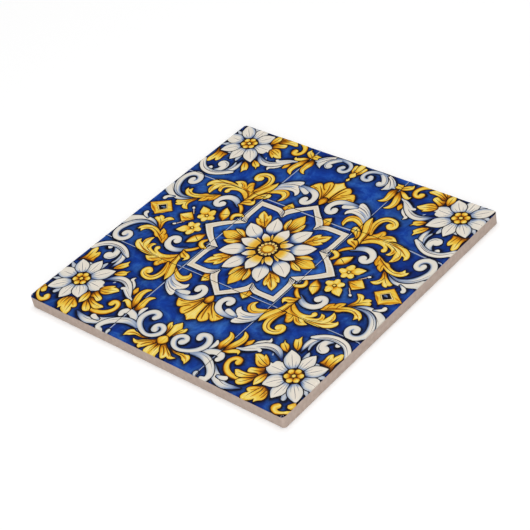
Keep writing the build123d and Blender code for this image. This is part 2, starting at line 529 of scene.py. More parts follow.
# white scrolls, each a brush line from its stem to its rolled end
whiteScrolls = {
    "smallCurl": dict(root=0.9, side=0.1, wider=1.04, spine=[(24.4, 13.0, 0.6), (25.8, 14.3, 0.95),
        (27.3, 15.1, 1.0), (29, 15.4, 1.0), (30.9, 15, 1.05), (32.3, 13.9, 1.05), (33, 12.4, 1.0),
        (32.7, 10.9, 0.95), (31.6, 10.1, 0.9), (30.5, 10.4, 1.0), (30.2, 11.2, 1.35)]),
    "edgeLeaf": dict(root=1.0, tip=0.2, side=0.15, wider=1.25, flow=[(0.35, 0.1, 0.95, 0.09)],
        spine=[(42, 9, 0.1), (44.2, 7.8, 0.5), (46.5, 7.3, 0.75), (49.3, 7.8, 1.0), (52, 9.2, 1.4),
        (54.5, 11.3, 1.7)]),
    "edgeCurl": dict(level=3, root=0.8, tone=0.14, side=0.5, aside=-0.1, wider=1.05,
        flow=[(-0.4, 0.06, 0.4, 0.07)], spine=[(42.95, 9.1, 0.2), (45.35, 8.8, 0.45), (47.35, 9, 0.7),
        (49.55, 10, 0.9), (51.35, 11.8, 1.0), (52.55, 14.1, 1.05), (52.95, 16.5, 1.0), (52.35, 18.5, 1.0),
        (50.75, 19.8, 1.0), (48.85, 19.8, 1.0), (47.45, 18.6, 0.98), (47.25, 17.1, 0.95),
        (48.15, 16.2, 0.9), (49.15, 16.4, 1.05), (49.25, 17, 1.2)]),
    "edgeHook": dict(level=3, root=0.7, side=-0.1, spine=[(48.4, 6.9, 0.25), (49.5, 6.4, 0.45),
        (50.4, 5.9, 0.6), (50.9, 5.2, 0.75), (50.9, 4.8, 0.78)]),
    "starCurl": dict(root=0.9, tone=0.15, side=0, wider=1.03, spine=[(12.8, 31.2, 0.4), (11, 31.4, 0.65),
        (9, 31.45, 0.85), (6.9, 31.1, 1.0), (5.1, 30, 1.05), (4.1, 28.2, 1.02), (4.1, 26.6, 1.0),
        (5, 25.3, 0.95), (6.4, 25.0, 0.95), (7.2, 25.8, 1.0), (6.9, 26.6, 1.15)]),
    "starTongue": dict(level=3, root=0.8, tone=0.18, side=0, wider=1.3, outline=0.15,
        spine=[(12.95, 30.3, 0.3), (10.55, 29.9, 0.7), (8.85, 29.5, 0.75)]),
    "highLeaf": dict(copies="near", tip=0.7, spine=[(15.3, 41.7, 0.35), (15.8, 42.7, 0.75),
        (15.8, 43.9, 0.7), (15.4, 45.4, 0.3)]),
    "twinCurl": dict(level=3, copies="near", tone=0.22, side=0.4, spine=[(9.7, 43.5, 1.2),
        (9.4, 42.5, 1.25), (10.4, 41.65, 1.0), (11.8, 41.7, 1.05), (13, 42.8, 1.05), (13.65, 44.5, 1.1),
        (13.5, 46.2, 1.05), (12.6, 47.8, 0.95), (11.2, 49.1, 0.85), (9.4, 50.1, 0.75), (7.4, 50.7, 0.68),
        (5.6, 50.5, 0.75), (4.1, 49.5, 0.9), (3.2, 48.1, 0.97), (3.25, 46.7, 0.95), (4.3, 45.6, 0.9),
        (5.7, 45.4, 0.9), (6.6, 46.3, 1.0), (6.3, 47.3, 1.25), (6, 47.6, 1.3)]),
    "hookBranch": dict(level=2, copies="near", root=1.1, fade=0.55, side=-0.15, aside=0.25, wider=1.12,
        spine=[(10.3, 50.5, 0.4), (12.4, 49.3, 0.8), (14.2, 48.0, 1.05), (15.7, 46.8, 1.1),
        (17.4, 45.75, 1.05), (19.2, 45.35, 1.05), (20.8, 45.8, 1.0), (21.55, 46.9, 0.88),
        (21.2, 48.0, 0.85)]),
    "lowBranch": dict(level=3, copies="near", root=0.7, tone=0.15, side=0.1, aside=-0.2, wider=1.08,
        flow=[(-0.35, 0.2, 0.6, 0.07)], spine=[(12, 50.2, 0.4), (13.8, 49.5, 0.95), (16, 49.3, 1.15),
        (18.2, 49.9, 1.2), (20.4, 51.2, 1.15), (22.2, 52.9, 1.05), (23.2, 54.7, 0.95), (23.0, 56.1, 0.85),
        (21.7, 56.6, 0.8)]),
    "lowBud": dict(copies="near", root=0.5, tone=0.4, wider=0.8, spine=[(19.1, 56.9, 0.7),
        (19.0, 55.6, 0.95)]),
    "longBranch": dict(copies="near", root=0.9, tip=1.1, tone=0.2, side=0.1, aside=0.05, wider=1.1,
        flow=[(-0.3, 0.3, 0.8, 0.08)], spine=[(20, 49.1, 0.2), (22.2, 50.8, 0.55), (24.2, 52.7, 0.95),
        (25.8, 53.9, 1.35), (27.9, 55.0, 1.2), (30, 55.3, 1.05), (32.5, 54.8, 0.8), (35, 53.8, 0.2)]),
    "longNub": dict(level=3, copies="near", root=0.7, side=0, aside=0.2, spine=[(25.8, 53.2, 0.5),
        (27.3, 53.1, 0.8), (28.3, 52.8, 0.92)]),
    "farCurl": dict(level=3, copies="far", root=0.5, tone=0.35, side=0.4, aside=0.1, wider=0.9,
        spine=[(11, 49.3, 0.3), (9.4, 49.4, 0.6), (7.4, 49.3, 0.8), (5.4, 48.9, 0.85), (4, 47.9, 0.85),
        (3.3, 46.4, 0.85), (3.5, 44.8, 0.9), (4.6, 43.8, 0.9), (6, 43.9, 0.95), (6.7, 44.9, 1.0),
        (6.2, 45.8, 1.2)]),
    "farTwig": dict(level=3, copies="far", root=0.6, tone=0.2, side=0.2, aside=0.05, wider=1.2,
        flow=[(0.5, 0.1, 0.9, 0.08)], spine=[(7.6, 49.4, 0.4), (9.6, 48.5, 0.75), (11.1, 47.1, 0.85),
        (12, 45.6, 0.85), (11.9, 44.3, 0.75), (11.1, 43.8, 0.75), (10.8, 44.3, 0.85)]),
    "cornerArc": dict(level=3, root=0.2, tip=1.6, side=0.1, wider=1.2, flow=[(0.35, 0.2, 0.88, 0.13),
        (0.66, 0.35, 0.85, 0.07)], spine=[(24.5, 40.2, 0.3), (26.8, 38, 0.7), (29, 36.3, 0.9),
        (31.5, 35.3, 1.0), (34, 35.5, 0.95), (36.3, 36.8, 0.7), (38.4, 38.6, 0.1)]),
    "cornerStem": dict(level=3, root=0.3, side=0.4, aside=-0.12, wider=0.9, flow=[(-0.3, 0.1, 0.7, 0.06)],
        spine=[(22.8, 41.3, 0.3), (25, 40.5, 0.75), (27.3, 39.2, 0.85), (28.8, 38.4, 0.75),
        (29.5, 38.6, 0.7)]),
    "hoodLeaf": dict(tip=1.4, side=0.4, wider=1.1, flow=[(-0.7, 0.1, 0.75, 0.08)], spine=[(42, 25.2, 0.7),
        (40.8, 26.8, 0.85), (40.3, 28.8, 0.8), (40.4, 31, 0.5), (40.8, 32.5, 0.1)]),
    "hoodSliver": dict(tone=0.5, root=0.6, spine=[(42.7, 25.3, 0.3), (41.9, 27, 0.4), (41.7, 29, 0.42),
        (42.1, 30.5, 0.3), (42.4, 31, 0)]),
    "hoodCurl": dict(root=0.8, side=0.1, aside=0.1, flow=[(0.55, 0.5, 1, 0.1)], spine=[(46.8, 24.2, 0.5),
        (45.1, 25.4, 1.05), (44.6, 27, 1.25), (45.2, 28.2, 1.55), (46.1, 28.4, 1.7)]),
    "hoodNub": dict(spine=[(48.7, 24.4, 0.85), (48.7, 24.9, 0.85)]),
    "hoodBand": dict(level=3, root=0.2, tone=0.02, side=0.35, aside=0.15, wider=1.05,
        flow=[(0.15, 0.15, 0.95, 0.13), (0.6, 0.1, 0.6, 0.1)], spine=[(39.6, 25.7, 0.5), (41.2, 24.8, 0.9),
        (43.3, 23.6, 1.0), (45.8, 22.9, 1.05), (48.3, 22.9, 1.1), (50.8, 23.6, 1.05), (53, 25.4, 1.0),
        (54.5, 27.6, 0.9)]),
    "fleck": dict(level=1, tone=0.6, edge=0.35, side=0, outline=0,
        spine=[(33.8, 37.3, 0.1), (34.1, 37.7, 0.3), (34.4, 38.1, 0.1)]),
}
whiteLeaves = {
    "starLeaf": dict(level=2, base=(19.75, 27), tip=(12.25, 28), root=0.6, ring=[(11.25, 26, 0),
        (12.05, 26.8), (13.35, 27.2), (14.85, 27.1), (16.35, 26.7), (17.65, 26), (19.35, 24.6, 0),
        (19.55, 26.4), (19.35, 28.5, 0), (18.55, 29.6), (17.25, 31), (15.75, 32.1), (14.35, 32.8),
        (13.05, 33), (12.65, 32.2), (12.95, 31.3, 0), (12.75, 30.3), (12.25, 29.3), (11.25, 28.5),
        (10.75, 27.5), (10.85, 26.7)],
        veins=[[(12.65, 30.8, 0.08), (14.25, 30.6, 0.13), (16.25, 30, 0.12), (18.65, 28.3, 0.03)],
        [(12.55, 28.3, 0.03), (15.25, 28.4, 0.07), (17.45, 27.6, 0.07), (19.25, 26.2, 0.03)],
        [(13.65, 31.9, 0.02), (15.85, 31.2, 0.05), (18.45, 29.3, 0.03)]],
        shades=[[(13.75, 29.4, 0.05), (15.75, 29, 0.5), (17.85, 27.8, 0.45), (19.25, 26.8, 0.1)]]),
    "cornerLeaf": dict(level=2, base=(25, 39), tip=(29.2, 32.3), root=0.35, ring=[(24.8, 38.9, 0),
        (25.9, 37.2), (26.4, 35.7), (27.7, 34.4), (29.1, 33.5), (29.2, 32.3, 0), (30.2, 33.4), (29.9, 34.5),
        (28.8, 36), (26.5, 38)],
        veins=[[(25.6, 38.3, 0.04), (27.4, 36.3, 0.1), (29.3, 34, 0.02)]]),
    "farLeaf": dict(level=2, copies="far", base=(17, 46.5), tip=(12, 47.5), root=0.5, ring=[(8.4, 49.9),
        (10.4, 48.8), (12, 47.4), (13, 45.9), (13.5, 44.3), (13.6, 43), (13.3, 41.9, 0), (14.5, 42.5),
        (15.7, 43.2), (16.1, 44.2, 0), (17.4, 44.5, 0), (16.8, 45.7), (15.8, 47.1), (14.3, 48.4),
        (12.4, 49.4), (10, 50)],
        veins=[[(10.6, 49.2, 0.03), (13, 47.5, 0.12), (14.6, 45.5, 0.1), (15.4, 43.9, 0.03)],
        [(12, 49.2, 0.03), (14, 48, 0.1), (15.4, 46.5, 0.09), (16.6, 45.1, 0.03)]]),
}
for leaf in whiteLeaves.values():
    leafPatch("white", **leaf)
for scroll in whiteScrolls.values():
    brushStroke("white", **{"tone": 0.1, "edge": 0.34, "side": 0.2, **scroll})
print("white scrolls painted")

# yellow strands, blades and scrolls
yellowScrolls = {
    "strand": dict(level=3, root=0.6, tone=0.25, side=0.5, aside=-0.18, spine=[(20.7, 10.3, 0.45),
        (21.5, 11.7, 0.6), (22.5, 12.8, 0.65), (23.6, 13.6, 0.6), (24.6, 14.0, 0.4)]),
    "trunk": dict(level=3, root=0.15, tone=0.1, side=-0.5, flow=[(-0.5, 0.15, 0.95, 0.1)],
        spine=[(24.45, 14.75, 0.5), (23.85, 16.95, 0.75), (23.55, 18.75, 0.8), (23.25, 20.45, 1.0),
        (22.45, 22.45, 1.25), (21.35, 24.55, 1.35), (20.65, 26.45, 1.0), (20.35, 28.25, 0.1)]),
    "hookLeaf": dict(level=2, root=1.0, tone=0.08, side=-0.35, flow=[(-0.3, 0.15, 0.85, 0.13)],
        spine=[(22.35, 21.9, 0.8), (20.45, 23.1, 0.85), (18.75, 24.2, 0.9), (17.05, 25.1, 1.15),
        (15.45, 25.3, 1.3), (14.2, 24.5, 1.3), (13.75, 23.2, 0.85), (14.05, 22.3, 0.4), (14.55, 21.6, 0)]),
    "bigCurl": dict(level=3, root=0.6, side=-0.2, aside=-0.22, flow=[(-0.15, 0.02, 0.72, 0.17)],
        spine=[(24.8, 21.3, 0.45), (23.8, 23.3, 0.75), (23.15, 25.3, 1.05), (23.1, 27.2, 1.1),
        (23.7, 28.9, 1.1), (25, 30.1, 1.05), (26.8, 30.4, 1.0), (28.7, 29.8, 0.92), (29.7, 28.4, 0.9),
        (29.3, 27, 0.95), (28.3, 26.7, 1.0), (27.7, 27.4, 1.25)]),
    "bladeLeft": dict(level=2, root=1.3, tone=0.1, side=0.25, flow=[(0.2, 0.1, 0.7, 0.08)],
        spine=[(18.3, 44.3, 0.5), (17.9, 42.5, 1.3), (18.1, 40, 1.1), (18, 38.3, 0.9), (16.9, 37, 0.4),
        (16.1, 36.7, 0)]),
    "bladeTall": dict(level=3, root=1.3, tone=0.08, side=0.25, aside=-0.12, flow=[(0.3, 0.1, 0.7, 0.08)],
        spine=[(20, 44, 0.3), (20.7, 42, 1.0), (21.5, 40, 1.15), (22.1, 37.8, 1.1), (21.8, 35.8, 0.85),
        (20.6, 34.5, 0.3), (20.1, 34.2, 0)]),
    "bladeLow": dict(level=4, root=1.0, side=-0.05, aside=0.12, spine=[(19.9, 44.2, 0.25),
        (21.4, 43.5, 0.65), (23, 42.4, 0.78), (24.3, 42.2, 0.6), (25, 43.2, 0)]),
    "fleck": dict(level=2, tone=0.4, root=0.6, aside=0.15, spine=[(24.0, 38.6, 0.35), (24.5, 37.2, 0.85),
        (24.8, 36.1, 0.4)]),
    "lowScroll": dict(level=3, root=0.4, tone=0.1, side=-0.6, wider=0.92, spine=[(33.5, 50.8, 0.9),
        (31, 51.1, 0.95), (28.5, 51.0, 1.0), (26.4, 50.0, 1.0), (25, 48.5, 0.92), (24.45, 46.8, 0.88),
        (24.9, 45.2, 0.88), (26, 44.4, 0.85), (27.2, 44.7, 1.0), (27.4, 45.6, 1.25)]),
    "cornerCurl": dict(level=3, copies="near", root=0.4, side=-0.5, aside=0.1, wider=0.95,
        spine=[(54.4, 50.5, 0.6), (54.6, 52.6, 0.55), (53.2, 54.8, 0.5), (51.2, 55.9, 0.65),
        (49.6, 55.6, 0.9), (48.9, 54.5, 1.2), (49.3, 53.8, 1.2)]),
}
for scroll in yellowScrolls.values():
    brushStroke("yellow", warm=0.25, **scroll)
print("yellow scrolls painted")

# lobed yellow leaves
yellowLeaves = {
    "acanthus": dict(level=2, base=(24.6, 20.7), tip=(32.1, 17.2), root=0.6, fade=0.7,
        ring=[(24.6, 16.3, 0), (26.3, 17.5), (28.3, 18.6), (30.3, 19), (32, 18.7), (32.9, 18.1),
        (32.7, 17.3), (33.5, 16.5), (34.5, 17.1), (34.4, 18.1), (33.5, 19.1), (32.1, 19.7, 0), (34.1, 19.2),
        (35.6, 18.5), (36, 17.6), (35.4, 16.1, 0), (36.7, 16.3), (37.4, 17.3), (37.6, 18.5, 0), (38, 16.9),
        (38.4, 15.6), (38.5, 13.8, 0), (39.7, 14.6), (40.6, 16.1), (40.3, 17.9, 0), (41.4, 17.5),
        (42.1, 16.4, 0), (42.9, 17.5), (42.5, 19), (41.1, 20.3), (38.6, 21.2), (36.1, 21.5), (33.9, 21.4),
        (32.2, 21.1, 0), (33.3, 21.8), (34.7, 22.2, 0), (33.5, 23.2), (32, 23.7), (30.4, 23.2),
        (28.7, 21.6, 0), (29.4, 23), (29, 24.2), (28.1, 24.6), (27.3, 24), (26.6, 22.6), (25.5, 21.5),
        (24.5, 20.6, 0)],
        shades=[[(24.9, 18.4, 0.3), (26.4, 19.8, 0.8), (28.7, 20.8, 0.6), (31.1, 21.1, 0.1)],
        [(33.1, 21, 0.05), (36.1, 20.6, 0.3), (38.7, 19.8, 0.3), (41.7, 18.1, 0.05)], [(36.3, 19.1, 0.15),
        (36.9, 18, 0.45), (36.5, 16.7, 0.1)], [(39.3, 18.6, 0.1), (40.1, 16.8, 0.25), (39.4, 14.9, 0.25)],
        [(29.3, 21.2, 0.2), (30.7, 22.4, 0.5), (32.5, 23, 0.1)]],
        veins=[[(24.4, 17.2, 0.15), (25.5, 18.8, 0.17), (27.1, 19.9, 0.12), (29.6, 20.4, 0.03)],
        [(30.1, 20.6, 0.03), (34.1, 20.5, 0.1), (38.1, 19.8, 0.1), (41.4, 18.2, 0.03)], [(33.6, 20.3, 0.03),
        (36.1, 19.5, 0.1), (37.5, 18.7, 0.1)], [(38.4, 19.6, 0.03), (39.8, 17.6, 0.08), (39.3, 15.6, 0.02)],
        [(28.1, 21, 0.13), (28.3, 22.2, 0.1), (28.1, 23.6, 0.02)], [(30.3, 21.3, 0.1), (31.5, 22.2, 0.1),
        (32.9, 22.6, 0.02)]]),
    "beak": dict(level=4, base=(24.5, 15.1), tip=(20.6, 17.1), root=0.5, ring=[(24.8, 13.8, 0),
        (23.5, 14.6), (22.1, 14.9), (20.9, 15.4), (20.2, 16.4), (20.6, 17.4), (21.6, 18.3, 0), (21.5, 17.4),
        (22.1, 17), (23.1, 17.2), (24.4, 16.1, 0)],
        shades=[[(23.7, 15.7, 0.1), (22.5, 16.1, 0.5), (21.3, 16.4, 0.1)]],
        veins=[[(24.1, 15.3, 0.12), (22.7, 15.8, 0.1), (21.5, 16.3, 0.02)]]),
    "branch": dict(level=3, base=(36.5, 13), tip=(44, 9.6), root=0.5, ring=[(33.9, 14.9, 0), (34.1, 13),
        (34.4, 11.8), (35.2, 10.9), (36.1, 10.4, 0), (36.4, 11.3, 0), (36.8, 10), (37.7, 9.2),
        (39.1, 8.7, 0), (39.1, 9.8), (38.7, 10.9, 0), (39.6, 10.3), (41.2, 9.6), (43, 9.4), (45, 9.7),
        (46.5, 10.6), (47.3, 11.8), (47.3, 13, 0), (46.4, 12.4, 0), (45.5, 13.5, 0), (45, 12.3),
        (44.3, 11.5), (43, 11.2), (41.5, 11.5), (40.3, 12.1), (39.6, 12.8), (38.6, 13.3, 0), (37.5, 13.1),
        (36, 14)],
        shades=[[(35, 13.8, 0.2), (36.8, 12.6, 0.8), (38.6, 11.8, 0.6), (40.5, 11, 0.1)], [(38, 11.6, 0.2),
        (38, 10.4, 0.4), (38.6, 9.5, 0.1)], [(43, 10.6, 0.1), (45.2, 11.2, 0.3), (46.4, 12.1, 0.1)]],
        veins=[[(35, 14, 0.1), (37.9, 12.2, 0.13), (40.5, 10.9, 0.1), (43.6, 10.4, 0.08), (46, 11.8, 0.02)],
        [(35.4, 13.6, 0.08), (35.4, 12.4, 0.08), (35.8, 11.5, 0.02)], [(37.9, 12.1, 0.1), (37.8, 11, 0.09),
        (38.4, 9.8, 0.02)]]),
    "sprig": dict(level=3, base=(40.2, 9.5), tip=(43, 4), root=0.9, ring=[(40.0, 9.5, 0), (40.3, 8.2),
        (40.9, 7), (41.1, 5.7), (40.6, 4.6), (39.2, 3.3, 0), (40.8, 2.9), (42, 3.5), (42.7, 5.0, 0),
        (43.3, 4), (44.4, 3.6), (45.2, 3.9), (45.0, 4.6, 0), (45.9, 5.0), (46.1, 5.9, 0), (44, 6.7),
        (42.4, 7.7), (41.2, 8.9)],
        veins=[[(40.6, 8.9, 0.13), (41.9, 7, 0.11), (41.8, 5.2, 0.09), (40.8, 4, 0.02)], [(42.2, 6.9, 0.1),
        (43.4, 5.7, 0.09), (44.6, 5, 0.02)]]),
    "slimLeaf": dict(level=3, base=(39.4, 32.6), tip=(36.7, 28.2), root=0.65, ring=[(36.9, 27.2, 0),
        (37.6, 28.3), (38.8, 29.7), (39.6, 31.4), (39.5, 32.7, 0), (37.8, 32), (36.5, 30.7),
        (35.8, 29.2, 0), (36.6, 28.5)],
        veins=[[(39.1, 32.1, 0.12), (38.1, 30.6, 0.1), (36.9, 28.8, 0.02)]]),
    "slimLeafLow": dict(level=3, base=(37.1, 34.6), tip=(33.6, 31.6), root=0.65, ring=[(33.2, 30.9, 0),
        (34.1, 31.7), (35.5, 32), (36.6, 33.1), (37.2, 34.7, 0), (35.7, 34.7), (34.2, 34), (33.3, 32.9),
        (33.7, 32.1)],
        veins=[[(36.7, 34.2, 0.12), (35.4, 33.2, 0.1), (34, 32.2, 0.02)]]),
    "crown": dict(level=3, base=(51.5, 34.4), tip=(51.2, 29.5), root=1.2, ring=[(48.6, 33.4, 0),
        (49.1, 31.9), (49, 30.4), (49.2, 29.4), (49.9, 28.7), (50.5, 29.1), (51, 30, 0), (51.3, 28.8),
        (52.4, 27.2), (53.4, 28.7), (53.2, 30.5), (53.1, 31.9), (53.4, 33.2), (54, 35.2, 0), (52.6, 33.9),
        (50.8, 33.7)],
        veins=[[(50.4, 33, 0.13), (50, 31.4, 0.1), (49.8, 29.8, 0.02)], [(52, 33.2, 0.13), (52.1, 31, 0.1),
        (52.4, 28.8, 0.02)]]),
    "tulip": dict(level=3, base=(36.4, 42.6), tip=(31, 40.4), root=0.8, ring=[(29.4, 40.2, 0), (30.3, 39.6),
        (31.5, 39.4), (32.5, 39.7, 0), (32.3, 38.8, 0), (33.4, 39.3), (34.7, 40.2), (35.8, 41.3),
        (36, 42.4), (35, 43.5), (33.6, 43.9), (32.2, 43.3), (31, 42.1), (30.1, 41)],
        shades=[[(35.5, 41.6, 0.2), (34.2, 41, 0.5), (33, 40.3, 0.1)], [(35, 43, 0.2), (33.4, 42.9, 0.4),
        (32, 42.2, 0.1)]],
        veins=[[(35.8, 42.2, 0.13), (33.4, 41.5, 0.11), (30.6, 40.4, 0.02)], [(35.2, 43, 0.08),
        (33.4, 42.7, 0.07), (31.6, 41.8, 0.02)]]),
    "tuftTop": dict(level=3, base=(37.15, 45.4), tip=(32.65, 46.1), root=1.2, ring=[(31.85, 46.4),
        (32.05, 45.5), (32.95, 45), (34.05, 44.6), (35.95, 43.4, 0), (36.55, 44.4), (36.75, 45.5),
        (36.15, 46.8), (34.75, 47.1), (33.55, 47.3), (32.45, 47.3)],
        veins=[[(36.45, 45, 0.13), (34.65, 45.6, 0.1), (32.75, 46.2, 0.02)]]),
    "tuftMiddle": dict(level=4, base=(36.35, 47.3), tip=(30.65, 48.9), root=1.2, ring=[(28.45, 48.5, 0),
        (29.25, 48), (30.65, 48), (32.15, 47.9), (33.45, 47.5), (35.15, 46.7), (36.15, 47.1, 0),
        (35.55, 48.5), (33.75, 49.3), (32.45, 50), (31.15, 50.4), (29.95, 50.1), (29.15, 49.3)],
        veins=[[(35.75, 47.5, 0.13), (33.15, 48.7, 0.1), (29.75, 48.9, 0.02)]]),
    "tuftLow": dict(level=5, base=(36.05, 47.9), tip=(32.65, 52.1), root=1.0, ring=[(31.65, 52.1, 0),
        (32.05, 51), (33.15, 50.1), (34.55, 49.2), (35.85, 48.4, 0), (36.05, 49.6), (35.45, 51),
        (34.65, 52.1), (33.55, 52.9), (32.45, 52.8)],
        veins=[[(35.55, 48.9, 0.13), (34.15, 50.7, 0.1), (32.75, 52.2, 0.02)]]),
    "tuftSide": dict(level=4, base=(38.15, 44.9), tip=(37.35, 49.6), root=0.9, ring=[(37.55, 50.8, 0),
        (36.75, 49.7), (36.25, 48.2), (36.95, 46), (38.15, 45, 0), (38.85, 46.5), (38.95, 48.1),
        (38.45, 49.6)],
        veins=[[(38.05, 45.7, 0.1), (37.65, 47.7, 0.08), (37.35, 49.9, 0.02)]]),
    "fan": dict(level=3, copies="near", base=(41.5, 49), tip=(39.5, 55), root=1.0, ring=[(39.2, 50.5),
        (40.6, 49.8), (42, 50), (43.2, 50.7), (43.9, 51.8), (44.2, 53), (43.9, 54.3), (42.8, 55.2),
        (42.1, 56.2, 0), (41.4, 55, 0), (40.9, 55.9), (39.6, 56.6), (38, 57), (37.2, 56.2), (37.4, 54.7),
        (38.2, 53.7, 0), (37.2, 53.3), (36.9, 52.5), (37.8, 51.4)],
        shades=[[(42.8, 51, 0.2), (43.2, 52.4, 0.6), (43, 54, 0.15)], [(40, 50.8, 0.3), (39.2, 52, 0.5),
        (38, 52.8, 0.1)], [(41.2, 51, 0.3), (40.8, 53, 0.4), (40, 55, 0.1)]],
        veins=[[(41, 50.2, 0.16), (41.1, 51.6, 0.17), (40.5, 53.2, 0.03)], [(42.3, 50.4, 0.16),
        (42.4, 51.8, 0.15), (42.2, 53.6, 0.03)], [(40.2, 50.5, 0.12), (39.4, 52.6, 0.12),
        (38.6, 55.6, 0.02)], [(43.2, 51, 0.1), (43.4, 52.2, 0.08), (43.3, 53.4, 0.02)]]),
    "cornerNub": dict(level=4, copies="near", base=(54, 50.5), tip=(52, 52.8), root=0.4,
        ring=[(51.9, 52.1, 0), (52.6, 51), (53.4, 50.3), (54.2, 51.5), (53.5, 52.9), (52.6, 53)]),
    "lowArm": dict(level=1, copies="near", base=(5, 51.5), tip=(11, 52.5), root=1.2, ring=[(4.6, 51.2, 0),
        (7, 52), (9, 51.7), (10.5, 51.3), (12, 51.1), (13.1, 51.9), (13.4, 53), (13.2, 54.7, 0), (12.3, 54),
        (11.4, 53.7), (10.7, 53.1), (9.8, 52.6), (8.4, 52.6), (6.4, 52.4)],
        shades=[[(8, 52.2, 0.1), (10.4, 52, 0.4), (12, 52.6, 0.3), (12.9, 53.6, 0.1)]],
        veins=[[(7, 52.3, 0.06), (10, 52.1, 0.1), (12, 52.9, 0.02)]]),
    "offshoot": dict(level=2, copies="far", base=(22.3, 17.6), tip=(18.6, 21.6), root=0.8,
        ring=[(22, 17.6, 0), (22.3, 19.4), (21.1, 21), (19.7, 22), (18.5, 22.2), (18, 21.4), (18.5, 20.6),
        (19.9, 20), (21, 19)],
        veins=[[(21.6, 19, 0.1), (20.4, 20.6, 0.09), (18.9, 21.6, 0.02)]]),
    "farCup": dict(level=3, copies="far", base=(19, 46.2), tip=(16.8, 46.2), root=0.2,
        ring=[(16.8, 45.3, 0), (18, 45), (19.3, 45.3, 0), (19.4, 46.2), (18.9, 47.4, 0), (17.6, 47.2),
        (16.6, 47.2, 0), (17.2, 46.2)],
        veins=[[(19, 46.2, 0.1), (18.2, 46.2, 0.09), (17.2, 46.3, 0.02)]]),
    "farSprig": dict(level=3, copies="far", base=(19, 45.4), tip=(22.5, 48), root=0.5,
        ring=[(19.2, 45.0, 0), (20.5, 45.2), (21.9, 46), (22.8, 47), (22.7, 48), (22.2, 49, 0),
        (21.7, 48.2), (20.8, 47.9), (19.8, 47), (19.2, 46.2)],
        veins=[[(19.6, 45.7, 0.12), (21, 46.7, 0.1), (22.2, 48, 0.02)]]),
}
for leaf in yellowLeaves.values():
    leafPatch("yellow", warm=0.25, **leaf)
print("yellow leaves painted")

# shell fans over the star and at the near and far edges
palmettes = {
    "knob": dict(level=5, copies="ends", tone=0.45, tip=0.7, edge=0.5, spine=[(0, 26.4, 0), (0, 27.4, 0.95),
        (0, 28.5, 1.4), (0, 29.1, 1.3)]),
    "dart": dict(level=3, copies="nearEnd", tip=1.0, aside=-0.15, spine=[(0, 41, 0), (0, 42.2, 1.05),
        (0, 43.2, 1.6), (0, 44.3, 1.25), (0, 46.2, 0.85), (0, 48.4, 0.7)]),
    "lowLobe": dict(level=2, copies="near", root=1.2, side=0.1, flow=[(0.3, 0.05, 0.7, 0.1)],
        spine=[(0.6, 51.8, 0.4), (1.1, 53.6, 0.95), (1.35, 55.4, 1.3), (1.35, 56.8, 1.35)]),
    "farFleck": dict(level=2, copies="farEnd", tone=0.2, spine=[(0, 40.7, 0.3), (0, 41.2, 0.6),
        (0, 41.7, 0.3)]),
    "farKnob": dict(level=4, copies="farEnd", edge=0.5, spine=[(0, 42.5, 0.2), (0, 43.4, 1.05),
        (0, 44.2, 1.1), (0, 45, 0.4)]),
    "farLobe": dict(level=3, copies="farEnd", root=1.1, spine=[(0, 45.1, 0.5), (0, 47, 0.9), (0, 48.6, 1.1),
        (0, 50.2, 0.9)]),
    "farSideLobe": dict(level=2, copies="far", root=1.1, side=-0.4, flow=[(0, 0.1, 0.7, 0.1)],
        spine=[(0.9, 44.9, 0.5), (1.5, 46.6, 0.8), (1.95, 48.3, 0.75)]),
}
